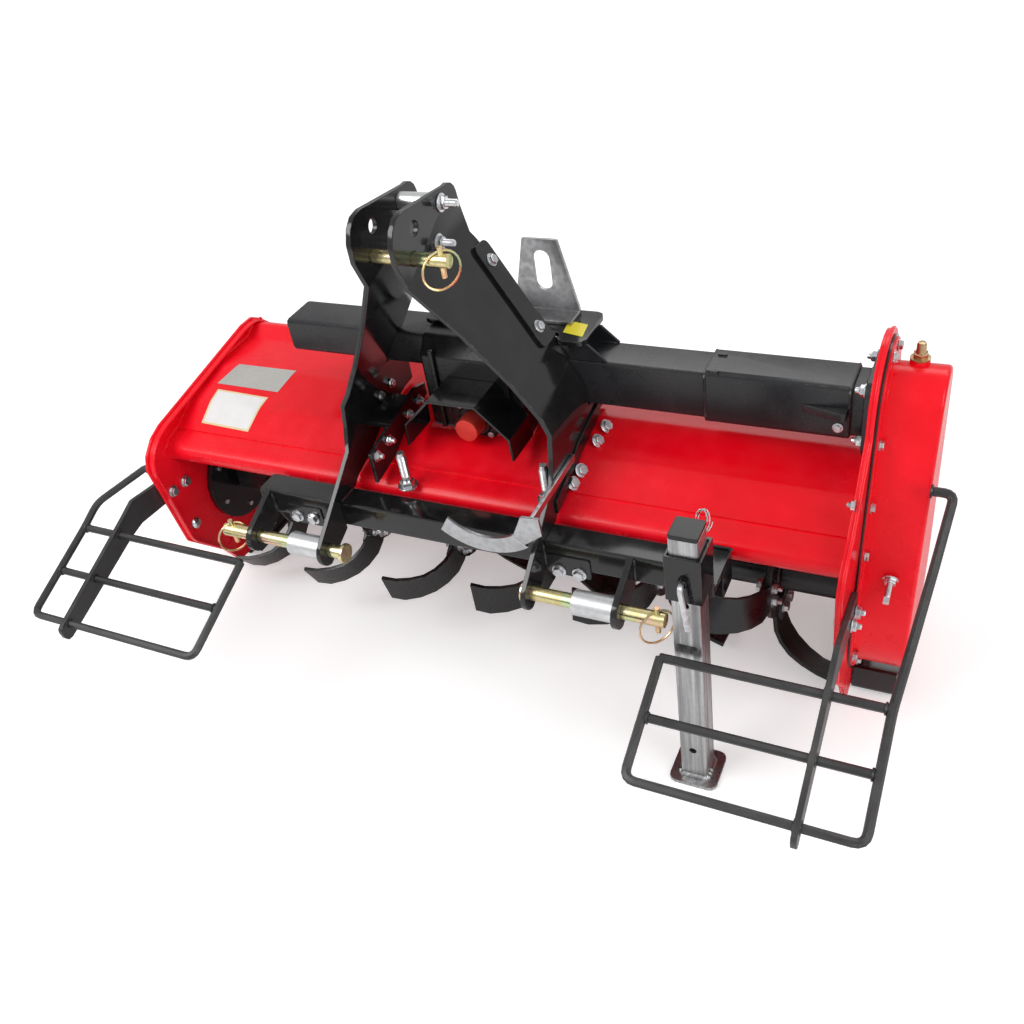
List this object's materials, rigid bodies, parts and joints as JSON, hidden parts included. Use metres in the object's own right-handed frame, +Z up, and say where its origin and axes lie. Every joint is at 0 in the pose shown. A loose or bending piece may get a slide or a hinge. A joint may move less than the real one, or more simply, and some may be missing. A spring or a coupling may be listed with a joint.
{
  "type": "rotary tiller",
  "caption": "Three-point rotary tiller with a curved-blade rotor under a red hood, chain drive case, A-frame mast, rod guards and a parking leg.",
  "frame": {"origin": "on the ground below the middle of the overall box, with the machine parked on its skids and its parking leg", "axes": "+X towards the chain case side along the rotor, -Y towards the tractor, +Z up"},
  "size_m": [1.3936, 0.728, 0.819],
  "materials": {
    "red_paint": "gloss red paint",
    "black_paint": "gloss black paint",
    "worn_black": "satin dark grey paint",
    "zinc_plate": "bright zinc plate",
    "yellow_zinc": "yellow passivated zinc plate",
    "red_plastic": "soft red plastic",
    "black_plastic": "black plastic",
    "steel": "bare steel"
  },
  "bodies": {
    "frame": {"side_plate_left": "red_paint", "side_plate_right": "red_paint", "hood_deck": "red_paint", "chain_case": "red_paint", "toolbar": "black_paint", "clevis_ear_left": "black_paint", "clevis_ear_right": "black_paint", "mast_plate_left": "black_paint", "mast_plate_right": "black_paint", "gearbox": "black_paint", "carrier_plate": "black_paint", "pto_shield": "black_paint", "skid_left": "black_paint", "skid_right": "black_paint", "bearing_cover": "black_paint", "leg_sleeve": "black_paint", "torque_tube": "worn_black", "tube_cover": "worn_black", "arm_tube": "worn_black", "guard_left": "worn_black", "guard_right": "worn_black", "guard_arm_left": "worn_black", "guard_arm_right": "worn_black", "mast_spacer": "zinc_plate", "pin_sleeve_left": "zinc_plate", "pin_sleeve_right": "zinc_plate", "lifting_plate": "zinc_plate", "shaft_holder": "zinc_plate", "leg_pin": "zinc_plate", "top_link_pin": "yellow_zinc", "lower_pin_left": "yellow_zinc", "lower_pin_right": "yellow_zinc"},
    "rotor": {"rotor_tube": "black_paint", "tine_set_1": "black_paint", "tine_set_2": "black_paint", "tine_set_3": "black_paint", "tine_set_4": "black_paint", "tine_set_5": "black_paint", "tine_set_6": "black_paint"},
    "input": {"pto_shaft": "steel", "pto_cap": "red_plastic"},
    "flap": {"rear_flap": "red_paint"},
    "leg": {"leg_tube": "zinc_plate", "leg_cap": "black_plastic"}
  },
  "joints": [
    {"name": "rotor_spin", "type": "hinge", "parent": "frame", "child": "rotor", "pos_m": [-0.0156, 0.11502, 0.188], "axis": [1, 0, 0], "continuous": true},
    {"name": "input_spin", "type": "hinge", "parent": "frame", "child": "input", "pos_m": [-0.0156, 0.09002, 0.416], "axis": [0, 1, 0], "continuous": true},
    {"name": "flap_hinge", "type": "hinge", "parent": "frame", "child": "flap", "pos_m": [-0.0156, 0.34402, 0.351], "axis": [1, 0, 0], "range_deg": [0, 60]},
    {"name": "leg_slide", "type": "slide", "parent": "frame", "child": "leg", "axis": [0, 0, 1], "range_m": [0, 0.2]}
  ],
  "couplings": [
    {"joint": "input_spin", "follows": "rotor_spin", "ratio": 2.6}
  ]
}
